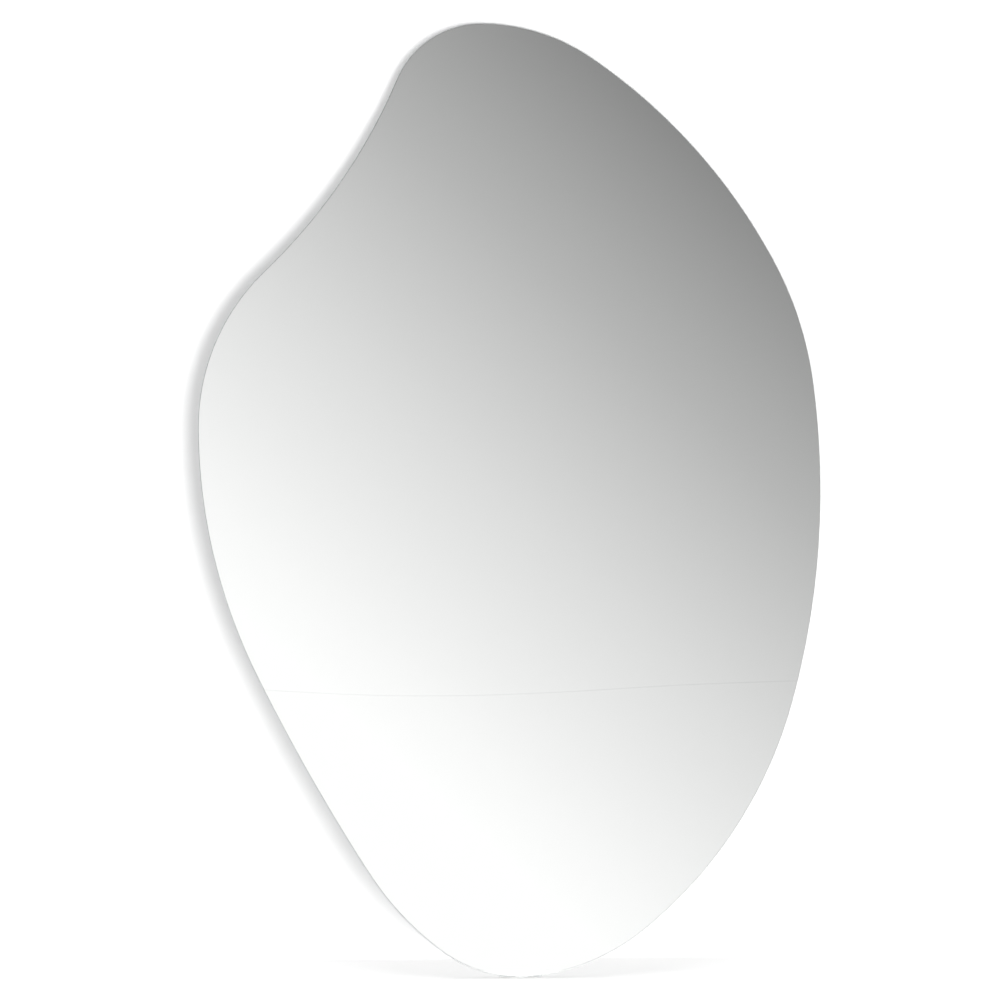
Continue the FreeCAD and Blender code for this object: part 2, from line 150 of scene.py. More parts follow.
# The bumpers, and the roundings of the pads and plates. Rings are shares of a radius.
BUMPER_SIDES = 72
BUMPER_ROUND = 1.2 * MM
BUMPER_ROUND_STEPS = 6
BUMPER_CROWN = 0.25 * MM
BUMPER_CROWN_RINGS = (0.75, 0.5, 0.25)
BUMPER_BASE_RING = 0.6
PAD_ROUND = 0.8 * MM
PLATE_ROUND = 0.15 * MM
ROUND_STEPS = 3
ROUND_FROM = math.radians(40)

# Corners nearer than the weld are one, and so are faces within the flat angle. Edges steeper than a crease
# angle shade sharp.
WELD = 0.001 * MM
FLAT_ANGLE = math.radians(0.2)
BOARD_CREASE = math.radians(25)
ROUNDED_CREASE = math.radians(35)
SCREW_CREASE = math.radians(40)


# ---------------------------------------------------------------- small helpers


def colour(code):
    """The linear colour of an sRGB hex code."""
    shades = [int(code[start : start + 2], 16) / 255 for start in (1, 3, 5)]
    linear = [s / 12.92 if s <= 0.04045 else ((s + 0.055) / 1.055) ** 2.4 for s in shades]
    return (*linear, 1.0)


def add_node(tree, kind, inputs=None, **settings):
    """Add a node with its settings, and give its inputs their values or links."""
    node = tree.nodes.new(kind)
    for name, value in settings.items():
        setattr(node, name, value)
    for name, value in (inputs or {}).items():
        if isinstance(value, bpy.types.NodeSocket):
            tree.links.new(value, node.inputs[name])
        else:
            node.inputs[name].default_value = value
    return node


def new_material(name):
    """An empty material and its node tree."""
    material = bpy.data.materials.new(name)
    material.use_nodes = True
    material.node_tree.nodes.clear()
    return material, material.node_tree


def new_piece(name, mesh, materials):
    """A finished piece of the mirror from its mesh."""
    piece = bpy.data.objects.new(name, mesh)
    bpy.context.scene.collection.objects.link(piece)
    mesh.materials.clear()
    for material in materials:
        mesh.materials.append(material)
    return piece


def fit(piece, slot, *replaced):
    """Let a piece ride on the mirror in place of the solids that it stands for."""
    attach(piece, "root")
    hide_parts(*replaced)
    return piece


def mesh_from(name, shape):
    """A mesh from an edited shape, with its faces pointing outwards."""
    bmesh.ops.recalc_face_normals(shape, faces=shape.faces)
    mesh = bpy.data.meshes.new(name)
    shape.to_mesh(mesh)
    shape.free()
    return mesh


def applied(piece):
    """The piece's mesh with its modifiers applied, as a plain mesh."""
    bpy.context.view_layer.update()
    ready = piece.evaluated_get(bpy.context.evaluated_depsgraph_get())
    mesh = bpy.data.meshes.new_from_object(ready)
    piece.modifiers.clear()
    return mesh


# ---------------------------------------------------------------- the outline


def front_rim(node):
    """The corners round the flat front face of a sheet, in order."""
    mesh = nodes[node].data
    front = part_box(node)[0].y
    sides = set()
    for face in mesh.polygons:
        corners = [mesh.vertices[number].co for number in face.vertices]
        if all(abs(corner.y - front) < WELD for corner in corners):
            spots = [(round(corner.x, 6), round(corner.z, 6)) for corner in corners]
            sides.update(zip(spots, spots[1:] + spots[:1]))
    after = {start: end for start, end in sides if (end, start) not in sides}
    rim = [next(iter(sorted(after)))]
    while after[rim[-1]] != rim[0]:
        rim.append(after[rim[-1]])
    return np.array(rim)


def smooth_loop(corners, step):
    """Evenly spaced points on a smooth closed curve through the corners."""
    ahead = np.roll(corners, -1, axis=0) - corners
    length = np.linalg.norm(ahead, axis=1)[:, None]
    behind, length_behind = np.roll(ahead, 1, axis=0), np.roll(length, 1, axis=0)
    slope = behind * length / length_behind + ahead * length_behind / length
    slope = slope / (length + length_behind)
    points = []
    for number, start in enumerate(corners):
        end = corners[(number + 1) % len(corners)]
        out, into = slope[number] * length[number], slope[(number + 1) % len(corners)] * length[number]
        count = max(1, round(length[number][0] / step))
        for t in np.arange(count) / count:
            spot = (2 * t**3 - 3 * t**2 + 1) * start + (t**3 - 2 * t**2 + t) * out
            points.append(spot + (3 * t**2 - 2 * t**3) * end + (t**3 - t**2) * into)
    return np.array(points)


def outward(points):
    """The outward direction at each point of a closed curve."""
    along = np.roll(points, -1, axis=0) - np.roll(points, 1, axis=0)
    along = along / np.linalg.norm(along, axis=1)[:, None]
    across = np.stack([along[:, 1], -along[:, 0]], axis=1)
    away = points - points.mean(axis=0)
    return across if (across * away).sum() > 0 else -across


def inset_of(node):
    """How far a sheet is set in from the pane's outline."""
    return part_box(node)[0].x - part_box("mirror_glass")[0].x


RIM = smooth_loop(front_rim("silver_coating"), OUTLINE_STEP)
RIM_OUTWARD = outward(RIM)
RIM_INSET = inset_of("silver_coating")


def outline(inset):
    """The mirror's outline, set in by a distance."""
    return RIM + RIM_OUTWARD * (RIM_INSET - inset)


def sheet_mesh(name, profile):
    """A sheet of the mirror's outline. The profile runs round its edge from the front face to the rear, as
    pairs of inset and depth. The two flat faces come last, the front one before the rear one."""
    shape = bmesh.new()
    rings = []
    for inset, depth in profile:
        rings.append([shape.verts.new((x, depth, z)) for x, z in outline(inset)])
    count = len(RIM)
    for near, far in zip(rings, rings[1:]):
        for number in range(count):
            after = (number + 1) % count
            shape.faces.new((near[number], near[after], far[after], far[number])).smooth = True
    front, rear = shape.faces.new(rings[0]), shape.faces.new(rings[-1])
    front.smooth = rear.smooth = False
    return mesh_from(name, shape)


# ---------------------------------------------------------------- materials


def float_glass():
    """Clear float glass, its edge ground and polished, with no more than a trace of green."""
    material, tree = new_material("float_glass")
    shader = add_node(
        tree,
        "ShaderNodeBsdfPrincipled",
        {"Base Color": colour("#FEFFFE"), "Roughness": 0.0, "IOR": 1.52, "Transmission Weight": 1.0},
    )
    add_node(tree, "ShaderNodeOutputMaterial", {"Surface": shader.outputs[0]})
    return material


def silver():
    """Chemically deposited silver on glass: an even, bright and nearly neutral mirror."""
    material, tree = new_material("silver")
    shader = add_node(
        tree,
        "ShaderNodeBsdfPrincipled",
        {"Base Color": colour("#F6F6F6"), "Metallic": 1.0, "Roughness": 0.0},
    )
    add_node(tree, "ShaderNodeOutputMaterial", {"Surface": shader.outputs[0]})
    return material


def backing_paint():
    """The curtain-coated paint over the silver: grey, satin, with a fine orange peel."""
    material, tree = new_material("backing_paint")
    place = add_node(tree, "ShaderNodeTexCoord").outputs["Object"]
    peel = add_node(tree, "ShaderNodeTexNoise", {"Vector": place, "Scale": 1 / (1.5 * MM), "Detail": 2.0})
    clouds = add_node(tree, "ShaderNodeTexNoise", {"Vector": place, "Scale": 1 / (60 * MM), "Detail": 3.0})
    tone = add_node(
        tree,
        "ShaderNodeMix",
        {0: clouds.outputs["Fac"], 6: colour("#6F7679"), 7: colour("#7E8587")},
        data_type="RGBA",
    )
    bump = add_node(
        tree, "ShaderNodeBump", {"Height": peel.outputs["Fac"], "Strength": 0.4, "Distance": 0.05 * MM}
    )
    shader = add_node(
        tree,
        "ShaderNodeBsdfPrincipled",
        {"Base Color": tone.outputs[2], "Roughness": 0.42, "IOR": 1.5, "Normal": bump.outputs[0]},
    )
    add_node(tree, "ShaderNodeOutputMaterial", {"Surface": shader.outputs[0]})
    return material


def vinyl_film():
    """Calendered vinyl safety film: pale, satin, with the fine weave of its backing pressed through."""
    material, tree = new_material("vinyl_film")
    place = add_node(tree, "ShaderNodeTexCoord").outputs["Object"]
    upright = add_node(
        tree, "ShaderNodeTexWave", {"Vector": place, "Scale": 0.5 / (1.6 * MM)}, bands_direction="X"
    )
    level = add_node(
        tree, "ShaderNodeTexWave", {"Vector": place, "Scale": 0.5 / (1.6 * MM)}, bands_direction="Z"
    )
    weave = add_node(
        tree, "ShaderNodeMath", {0: upright.outputs["Fac"], 1: level.outputs["Fac"]}, operation="ADD"
    )
    tone = add_node(
        tree,
        "ShaderNodeMix",
        {0: weave.outputs[0], 6: colour("#C9CED1"), 7: colour("#D9DDDF")},
        data_type="RGBA",
    )
    bump = add_node(
        tree, "ShaderNodeBump", {"Height": weave.outputs[0], "Strength": 0.3, "Distance": 0.05 * MM}
    )
    shader = add_node(
        tree,
        "ShaderNodeBsdfPrincipled",
        {"Base Color": tone.outputs[2], "Roughness": 0.5, "IOR": 1.53, "Normal": bump.outputs[0]},
    )
    add_node(tree, "ShaderNodeOutputMaterial", {"Surface": shader.outputs[0]})
    return material


def foam_tape():
    """Closed-cell polyethylene foam: white and matt, its cut cells pitting the sides."""
    material, tree = new_material("polyethylene_foam")
    place = add_node(tree, "ShaderNodeTexCoord").outputs["Object"]
    cells = add_node(tree, "ShaderNodeTexVoronoi", {"Vector": place, "Scale": 1 / (0.45 * MM)})
    tone = add_node(
        tree,
        "ShaderNodeMix",
        {0: cells.outputs["Distance"], 6: colour("#D8D8D4"), 7: colour("#F0F0EC")},
        data_type="RGBA",
    )
    bump = add_node(
        tree, "ShaderNodeBump", {"Height": cells.outputs["Distance"], "Strength": 0.5, "Distance": 0.1 * MM}
    )
    shader = add_node(
        tree,
        "ShaderNodeBsdfPrincipled",
        {"Base Color": tone.outputs[2], "Roughness": 0.85, "IOR": 1.5, "Normal": bump.outputs[0]},
    )
    add_node(tree, "ShaderNodeOutputMaterial", {"Surface": shader.outputs[0]})
    return material


def mirror_adhesive():
    """Neutral-cure mirror adhesive: off-white and rubbery, with the low ripples that the gun leaves."""
    material, tree = new_material("mirror_adhesive")
    place = add_node(tree, "ShaderNodeTexCoord").outputs["Object"]
    ripples = add_node(tree, "ShaderNodeTexNoise", {"Vector": place, "Scale": 1 / (5 * MM), "Detail": 3.0})
    tone = add_node(
        tree,
        "ShaderNodeMix",
        {0: ripples.outputs["Fac"], 6: colour("#CFC8B4"), 7: colour("#E2DCCB")},
        data_type="RGBA",
    )
    bump = add_node(
        tree, "ShaderNodeBump", {"Height": ripples.outputs["Fac"], "Strength": 0.6, "Distance": 0.3 * MM}
    )
    shader = add_node(
        tree,
        "ShaderNodeBsdfPrincipled",
        {"Base Color": tone.outputs[2], "Roughness": 0.38, "IOR": 1.41, "Normal": bump.outputs[0]},
    )
    add_node(tree, "ShaderNodeOutputMaterial", {"Surface": shader.outputs[0]})
    return material


def fibreboard():
    """Medium-density fibreboard: sanded faces with short pressed fibres, and sawn edges that are darker and
    furrier because they show the board's looser core. The fibres are drawn coarser than real ones, so that
    they show."""
    material, tree = new_material("fibreboard")
    place = add_node(tree, "ShaderNodeTexCoord").outputs["Object"]
    normal = add_node(tree, "ShaderNodeNewGeometry").outputs["Normal"]
    facing = add_node(tree, "ShaderNodeSeparateXYZ", {0: normal})
    flat = add_node(tree, "ShaderNodeMath", {0: facing.outputs["Y"]}, operation="ABSOLUTE")
    sawn = add_node(
        tree,
        "ShaderNodeMapRange",
        {"Value": flat.outputs[0], "From Min": 0.98, "From Max": 0.6, "To Min": 0.0, "To Max": 1.0},
    )
    stretched = add_node(tree, "ShaderNodeMapping", {"Vector": place, "Scale": (1.0, 1.0, 0.35)})
    fibres = add_node(
        tree,
        "ShaderNodeTexNoise",
        {"Vector": stretched.outputs[0], "Scale": 1 / (2.4 * MM), "Detail": 8.0, "Roughness": 0.75},
    )
    clouds = add_node(tree, "ShaderNodeTexNoise", {"Vector": place, "Scale": 1 / (90 * MM), "Detail": 5.0})
    speck = add_node(
        tree,
        "ShaderNodeMapRange",
        {"Value": fibres.outputs["Fac"], "From Min": 0.4, "From Max": 0.62, "To Min": 0.0, "To Max": 1.0},
    )
    patch = add_node(
        tree,
        "ShaderNodeMapRange",
        {"Value": clouds.outputs["Fac"], "From Min": 0.35, "From Max": 0.65, "To Min": 0.0, "To Max": 0.45},
    )
    face = add_node(
        tree,
        "ShaderNodeMix",
        {0: speck.outputs[0], 6: colour("#9E7347"), 7: colour("#CAA273")},
        data_type="RGBA",
    )
    clouded = add_node(
        tree,
        "ShaderNodeMix",
        {0: patch.outputs[0], 6: face.outputs[2], 7: colour("#A67B4E")},
        data_type="RGBA",
    )
    edge = add_node(
        tree,
        "ShaderNodeMix",
        {0: speck.outputs[0], 6: colour("#7A5735"), 7: colour("#A07A50")},
        data_type="RGBA",
    )
    tone = add_node(
        tree,
        "ShaderNodeMix",
        {0: sawn.outputs[0], 6: clouded.outputs[2], 7: edge.outputs[2]},
        data_type="RGBA",
    )
    rough = add_node(
        tree,
        "ShaderNodeMapRange",
        {"Value": sawn.outputs[0], "From Min": 0.0, "From Max": 1.0, "To Min": 0.62, "To Max": 0.9},
    )
    bump = add_node(
        tree, "ShaderNodeBump", {"Height": fibres.outputs["Fac"], "Strength": 0.5, "Distance": 0.12 * MM}
    )
    shader = add_node(
        tree,
        "ShaderNodeBsdfPrincipled",
        {"Base Color": tone.outputs[2], "Roughness": rough.outputs[0], "Normal": bump.outputs[0]},
    )
    add_node(tree, "ShaderNodeOutputMaterial", {"Surface": shader.outputs[0]})
    return material


def zinc_plate():
    """Bright zinc plating, blue passivated, on stamped steel: fine crystals, a soft gloss and a cool tint
    that drifts a little across the piece. The crystals are drawn coarser than real ones, so that they
    show."""
    material, tree = new_material("zinc_plate")
    place = add_node(tree, "ShaderNodeTexCoord").outputs["Object"]
    crystals = add_node(tree, "ShaderNodeTexNoise", {"Vector": place, "Scale": 1 / (0.5 * MM), "Detail": 5.0})
    drift = add_node(tree, "ShaderNodeTexNoise", {"Vector": place, "Scale": 1 / (12 * MM), "Detail": 2.0})
    tone = add_node(
        tree,
        "ShaderNodeMix",
        {0: drift.outputs["Fac"], 6: colour("#BFC4CC"), 7: colour("#D3D3CC")},
        data_type="RGBA",
    )
    rough = add_node(
        tree,
        "ShaderNodeMapRange",
        {"Value": crystals.outputs["Fac"], "From Min": 0.3, "From Max": 0.7, "To Min": 0.26, "To Max": 0.4},
    )
    bump = add_node(
        tree, "ShaderNodeBump", {"Height": crystals.outputs["Fac"], "Strength": 0.25, "Distance": 0.02 * MM}
    )
    shader = add_node(
        tree,
        "ShaderNodeBsdfPrincipled",
        {
            "Base Color": tone.outputs[2],
            "Metallic": 1.0,
            "Roughness": rough.outputs[0],
            "Normal": bump.outputs[0],
        },
    )
    add_node(tree, "ShaderNodeOutputMaterial", {"Surface": shader.outputs[0]})
    return material


def frosted_rubber(name, dark, pale, clearness):
    """Cast clear elastomer: milky, soft and finely frosted, so that light glows in its rim. The frost is
    drawn coarser than the real one, so that it shows."""
    material, tree = new_material(name)
    place = add_node(tree, "ShaderNodeTexCoord").outputs["Object"]
    frost = add_node(tree, "ShaderNodeTexNoise", {"Vector": place, "Scale": 1 / (0.4 * MM), "Detail": 3.0})
    tone = add_node(
        tree,
        "ShaderNodeMix",
        {0: frost.outputs["Fac"], 6: colour(dark), 7: colour(pale)},
        data_type="RGBA",
    )
    bump = add_node(
        tree, "ShaderNodeBump", {"Height": frost.outputs["Fac"], "Strength": 0.3, "Distance": 0.04 * MM}
    )
    shader = add_node(
        tree,
        "ShaderNodeBsdfPrincipled",
        {
            "Base Color": tone.outputs[2],
            "Roughness": 0.45,
            "IOR": 1.42,
            "Transmission Weight": clearness,
            "Subsurface Weight": 0.6,
            "Subsurface Radius": (1.0, 1.0, 1.0),
            "Subsurface Scale": 2 * MM,
            "Normal": bump.outputs[0],
        },
    )
    add_node(tree, "ShaderNodeOutputMaterial", {"Surface": shader.outputs[0]})
    return material


# ---------------------------------------------------------------- the mirror's sheets


def make_pane(glass):
    """The glass pane: two flat faces and a polished edge that rounds into them without a crease."""
    low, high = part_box("mirror_glass")
    turns = [number * math.pi / 2 / EDGE_STEPS for number in range(EDGE_STEPS + 1)]
    front = [(EDGE_ROUND * (1 - math.sin(t)), low.y + EDGE_ROUND * (1 - math.cos(t))) for t in turns]
    rear = [(inset, low.y + high.y - depth) for inset, depth in reversed(front)]
    piece = new_piece("glass_pane", sheet_mesh("glass_pane", front + rear), [glass])
    return fit(piece, "glass", "mirror_glass")


def make_silvering(metal, paint):
    """The silver on the pane's rear, just inside the glass, and the paint that covers and seals it."""
    low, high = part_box("silver_coating")
    front, rear = low.y - SILVER_IN_GLASS, high.y
    # The narrow paint ring between the silver and the outline faces the glass: real grey paint, and also
    # painted shade, the dark line along the pane's edge.
    mesh = sheet_mesh("silver_sheet", [(SILVER_INSET, front), (PAINT_INSET, front), (PAINT_INSET, rear)])
    piece = new_piece("silver_sheet", mesh, [paint, metal])
    front_face = mesh.polygons[-2]
    front_face.material_index = 1
    return fit(piece, "silvering", "silver_coating")


def make_film(vinyl):
    """The safety film over the paint."""
    low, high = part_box("safety_film")
    inset = inset_of("safety_film")
    piece = new_piece("film_sheet", sheet_mesh("film_sheet", [(inset, low.y), (inset, high.y)]), [vinyl])
    return fit(piece, "safety_film", "safety_film")


def make_bead(node, adhesive, number):
    """A bead of adhesive pressed into an uneven ribbon between the pane and the board."""
    low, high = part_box(node)
    middle, reach = (low.x + high.x) / 2, (high.x - low.x) / 2
    draw = random.Random(number)
    waves = [(draw.uniform(*BEAD_WAVE_LENGTHS), draw.uniform(0, math.tau)) for wave in range(BEAD_WAVES)]
    count = round((high.z - low.z - 2 * reach) / BEAD_STEP)
    rim = []
    for side in (1, -1):
        for step in range(count + 1):
            share = step / count if side > 0 else 1 - step / count
            height = low.z + reach + share * (high.z - low.z - 2 * reach)
            wave = sum(math.sin(height / length + shift + side) for length, shift in waves) / len(waves)
            close = min(1.0, (min(share, 1 - share) * count + 0.5) / BEAD_END_STEPS)
            width = reach * (1 - BEAD_UNEVEN * (1 + wave) / 2) * math.sin(close * math.pi / 2)
            rim.append((middle + side * width, height))
    shape = bmesh.new()
    near, far = ([shape.verts.new((x, depth, z)) for x, z in rim] for depth in (low.y, high.y))
    shape.faces.new(near)
    shape.faces.new(far)
    for here in range(len(rim)):
        after = (here + 1) % len(rim)
        shape.faces.new((near[here], near[after], far[after], far[here])).smooth = True
    piece = new_piece(f"adhesive_ribbon_{number}", mesh_from(node, shape), [adhesive])
    return fit(piece, "adhesive", node)


# ---------------------------------------------------------------- the board and its hardware


def joined_copy(node, name):
    """A copy of a solid's mesh with its loose triangles joined into whole faces."""
    shape = bmesh.new()
    shape.from_mesh(nodes[node].data)
    bmesh.ops.remove_doubles(shape, verts=shape.verts, dist=WELD)
    bmesh.ops.dissolve_limit(shape, angle_limit=FLAT_ANGLE, verts=shape.verts, edges=shape.edges)
    return mesh_from(name, shape)


def shade_by_angle(mesh, angle):
    """Smooth shading, with a crease wherever two faces meet at more than an angle."""
    mesh.shade_smooth()
    mesh.set_sharp_from_angle(angle=angle)


def make_board(wood):
    """The backing board, with its chamfered rear edge and the routed seats of the plates."""
    mesh = joined_copy("backing_board", "fibre_panel")
    shade_by_angle(mesh, BOARD_CREASE)
    panel = fit(new_piece("fibre_panel", mesh, [wood]), "board", "backing_board")
    # The wall close behind doesn't take on the board's colour.
    panel.visible_diffuse = False
    return panel


def make_rounded(node, name, slot, material, rounding):
    """A copy of a solid with its sharp edges slightly rounded."""
    piece = new_piece(name, joined_copy(node, name), [material])
    bevel = piece.modifiers.new("rounding", "BEVEL")
    bevel.width = rounding
    bevel.segments = ROUND_STEPS
    bevel.limit_method = "ANGLE"
    bevel.angle_limit = ROUND_FROM
    piece.data = applied(piece)
    shade_by_angle(piece.data, ROUNDED_CREASE)
    return fit(piece, slot, node)


def turned(shape, profile, sides):
    """Turn a profile of radius and depth about the Y axis into a closed shape. Radius 0 makes a pole."""
    turns = [number * math.tau / sides for number in range(sides)]
    rings = []
    for radius, depth in profile:
        around = turns if radius > 0 else turns[:1]
        rings.append([shape.verts.new((radius * math.cos(t), depth, radius * math.sin(t))) for t in around])
    for near, far in zip(rings, rings[1:]):
        for number in range(sides):
            after = (number + 1) % sides
            corners = [near[number % len(near)], near[after % len(near)]]
            corners += [far[after % len(far)], far[number % len(far)]]
            shape.faces.new(list(dict.fromkeys(corners))).smooth = True


def screw_mesh(length, head_radius, shank_radius):
    """A countersunk screw with its head's flat at the origin, a cross recess, a thread and a point. It points
    along -Y."""
    shape = bmesh.new()
    neck = head_radius - shank_radius
    steps = round((length - neck) / (THREAD_PITCH / THREAD_STEPS))
    turns = [number * math.tau / SCREW_SIDES for number in range(SCREW_SIDES)]
    rim = [shape.verts.new((head_radius * math.cos(t), 0, head_radius * math.sin(t))) for t in turns]
    rings = [rim]
    for step in range(steps + 1):
        run = step / steps * (length - neck)
        taper = min(1.0, (length - neck - run) / (POINT_TURNS * THREAD_PITCH) + POINT_TIP)
        ring = []
        for number in range(SCREW_SIDES):
            turn = number / SCREW_SIDES
            phase = (run / THREAD_PITCH + turn) % 1
            ridge = max(0.0, 1 - abs(phase - 0.5) * RIDGE_STEEPNESS) if run > THREAD_PITCH else 0.0
            radius = (shank_radius - THREAD_DEPTH + ridge * THREAD_DEPTH) * taper
            angle = turn * math.tau
            ring.append(shape.verts.new((radius * math.cos(angle), -neck - run, radius * math.sin(angle))))
        rings.append(ring)
    for near, far in zip(rings, rings[1:]):
        for number in range(SCREW_SIDES):
            after = (number + 1) % SCREW_SIDES
            shape.faces.new((near[number], near[after], far[after], far[number])).smooth = True
    shape.faces.new(rings[-1])
    crosses = []
    for scale, depth in ((1.0, 0.0), (RECESS_TAPER, -RECESS_DEPTH)):
        arm, half = RECESS_REACH * scale, RECESS_WIDTH / 2
        corner = [(arm, -half), (arm, half), (half, half)]
        spots = []
        for quarter in range(4):
            cos, sin = round(math.cos(quarter * math.pi / 2)), round(math.sin(quarter * math.pi / 2))
            spots += [(x * cos - z * sin, x * sin + z * cos) for x, z in corner]
        crosses.append([shape.verts.new((x, depth, z)) for x, z in spots])
    mouth, foot = crosses
    for number in range(len(mouth)):
        after = (number + 1) % len(mouth)
        shape.faces.new((mouth[number], mouth[after], foot[after], foot[number]))
    shape.faces.new(foot)
    edges = []
    for loop in (rim, mouth):
        for number, corner in enumerate(loop):
            edges.append(shape.edges.get((corner, loop[(number + 1) % len(loop)])))
    bmesh.ops.triangle_fill(shape, use_beauty=True, use_dissolve=False, edges=edges)
    return mesh_from("screw", shape)


def bumper_mesh(radius, height):
    """A soft disc from its flat base at the origin towards +Y, with a rounded rim and a low crown."""
    shape = bmesh.new()
    turns = [number * math.pi / 2 / BUMPER_ROUND_STEPS for number in range(BUMPER_ROUND_STEPS + 1)]
    shoulder = height - BUMPER_CROWN - BUMPER_ROUND
    rim = [(radius - BUMPER_ROUND * (1 - math.cos(t)), shoulder + BUMPER_ROUND * math.sin(t)) for t in turns]
    inner = radius - BUMPER_ROUND
    crown = [(inner * share, height - BUMPER_CROWN * share**2) for share in BUMPER_CROWN_RINGS]
    profile = [(0, 0), (radius * BUMPER_BASE_RING, 0), (radius, 0), *rim, *crown, (0, height)]
    turned(shape, profile, BUMPER_SIDES)
    return mesh_from("bumper", shape)


def repeating_tree():
    """Geometry nodes that set one piece on every corner of a mesh, each turned by a chance angle about Y."""
    tree = bpy.data.node_groups.new("repeat_on_spots", "GeometryNodeTree")
    face = tree.interface
    face.new_socket("Spots", in_out="INPUT", socket_type="NodeSocketGeometry")
    face.new_socket("Piece", in_out="INPUT", socket_type="NodeSocketObject")
    face.new_socket("Finish", in_out="INPUT", socket_type="NodeSocketMaterial")
    face.new_socket("Turn", in_out="INPUT", socket_type="NodeSocketFloat")
    face.new_socket("Pieces", in_out="OUTPUT", socket_type="NodeSocketGeometry")
    given = add_node(tree, "NodeGroupInput")
    piece = add_node(tree, "GeometryNodeObjectInfo", {"Object": given.outputs["Piece"]})
    chance = add_node(
        tree,
        "FunctionNodeRandomValue",
        {2: 0.0, 3: given.outputs["Turn"], "Seed": TURN_SEED},
        data_type="FLOAT",
    )
    turn = add_node(tree, "ShaderNodeCombineXYZ", {"Y": chance.outputs[1]})
    placed = add_node(
        tree,
        "GeometryNodeInstanceOnPoints",
        {
            "Points": given.outputs["Spots"],
            "Instance": piece.outputs["Geometry"],
            "Rotation": turn.outputs[0],
        },
    )
    real = add_node(tree, "GeometryNodeRealizeInstances", {"Geometry": placed.outputs[0]})
    finished = add_node(
        tree, "GeometryNodeSetMaterial", {"Geometry": real.outputs[0], "Material": given.outputs["Finish"]}
    )
    add_node(tree, "NodeGroupOutput", {"Pieces": finished.outputs[0]})
    return tree


def repeat(name, tree, mesh, spots, material, turn):
    """One piece made of a mesh repeated on spots, as a plain mesh."""
    pattern = bpy.data.objects.new(f"{name}_pattern", mesh)
    bpy.context.scene.collection.objects.link(pattern)
    points = bpy.data.meshes.new(f"{name}_spots")
    points.from_pydata(spots, [], [])
    piece = new_piece(name, points, [])
    modifier = piece.modifiers.new("repeat", "NODES")
    modifier.node_group = tree
    values = {"Piece": pattern, "Finish": material, "Turn": turn}
    for item in tree.interface.items_tree:
        if item.name in values and item.in_out == "INPUT":
            modifier[item.identifier] = values[item.name]
    piece.data = applied(piece)
    bpy.data.objects.remove(pattern)
    return piece


def islands(node):
    """The boxes of the separate solids of a node, each as its lowest and highest corner."""
    shape = bmesh.new()
    shape.from_mesh(nodes[node].data)
    bmesh.ops.remove_doubles(shape, verts=shape.verts, dist=WELD)
    left, boxes = set(shape.verts), []
    while left:
        queue = [left.pop()]
        reached = list(queue)
        while queue:
            corner = queue.pop()
            for edge in corner.link_edges:
                other = edge.other_vert(corner)
                if other in left:
                    left.remove(other)
                    reached.append(other)
                    queue.append(other)
        spots = np.array([corner.co for corner in reached])
        boxes.append((Vector(spots.min(axis=0)), Vector(spots.max(axis=0))))
    shape.free()
    return sorted(boxes, key=lambda box: tuple(box[0]))


def make_screws(tree, metal):
    """The plates' countersunk screws."""
    boxes = islands("hanger_screws")
    low, high = boxes[0]
    head_radius = (high.x - low.x) / 2
    mesh = screw_mesh(high.y - low.y, head_radius, head_radius - HEAD_REACH)
    shade_by_angle(mesh, SCREW_CREASE)
    spots = [((low.x + high.x) / 2, high.y, (low.z + high.z) / 2) for low, high in boxes]
    piece = repeat("cross_head_screws", tree, mesh, spots, metal, math.pi / 2)
    return fit(piece, "plated_steel", "hanger_screws")


def make_bumpers(tree, rubber):
    """The soft discs that meet the wall."""
    boxes = islands("wall_bumpers")
    low, high = boxes[0]
    mesh = bumper_mesh((high.x - low.x) / 2, high.y - low.y)
    spots = [((low.x + high.x) / 2, low.y, (low.z + high.z) / 2) for low, high in boxes]
    piece = repeat("soft_bumpers", tree, mesh, spots, rubber, 0.0)
    return fit(piece, "bumper_rubber", "wall_bumpers")


def make_mirror():
    """Every piece of the mirror, with its finish."""
    make_pane(float_glass())
    make_silvering(silver(), backing_paint())
    make_film(vinyl_film())
    foam, adhesive = foam_tape(), mirror_adhesive()
    for name, node in nodes.items():
        if name.startswith("tape_strip"):
            node.data.materials.clear()
            node.data.materials.append(foam)
        elif name.startswith("adhesive_bead"):
            make_bead(name, adhesive, int(name.split("_")[-1]))
    make_board(fibreboard())
    zinc = zinc_plate()
    clear = frosted_rubber("clear_rubber", "#EEF1F1", "#FAFBFB", 0.85)
    for side in ("left", "right"):
        make_rounded(f"hanger_plate_{side}", f"keyhole_plate_{side}", "plated_steel", zinc, PLATE_ROUND)
        make_rounded(f"floor_pad_{side}", f"foot_block_{side}", "clear_rubber", clear, PAD_ROUND)
    tree = repeating_tree()
    make_screws(tree, zinc)
    make_bumpers(tree, frosted_rubber("frosted_silicone", "#CFD4D5", "#E6E9EA", 0.3))


# ---------------------------------------------------------------- the stage


UPRIGHT = Vector((0, -math.sin(LEAN), math.cos(LEAN)))
TO_WALL = Vector((0, math.cos(LEAN), math.sin(LEAN)))
RIGHT = Vector((1, 0, 0))


def backdrop_glow(tree, strength, reflected):
    """White light that only the camera, mirrors and glass see. It makes a surface look whiter than its light
    does."""
    path = add_node(tree, "ShaderNodeLightPath")
    mirrored = add_node(
        tree,
        "ShaderNodeMath",
        {0: path.outputs["Is Glossy Ray"], 1: path.outputs["Is Transmission Ray"]},
        operation="MAXIMUM",
    )
    seen = add_node(
        tree, "ShaderNodeMath", {0: path.outputs["Is Camera Ray"], 1: strength}, operation="MULTIPLY"
    )
    level = add_node(
        tree,
        "ShaderNodeMath",
        {0: mirrored.outputs[0], 1: reflected, 2: seen.outputs[0]},
        operation="MULTIPLY_ADD",
    )
    return add_node(tree, "ShaderNodeEmission", {"Strength": level.outputs[0]}).outputs[0]


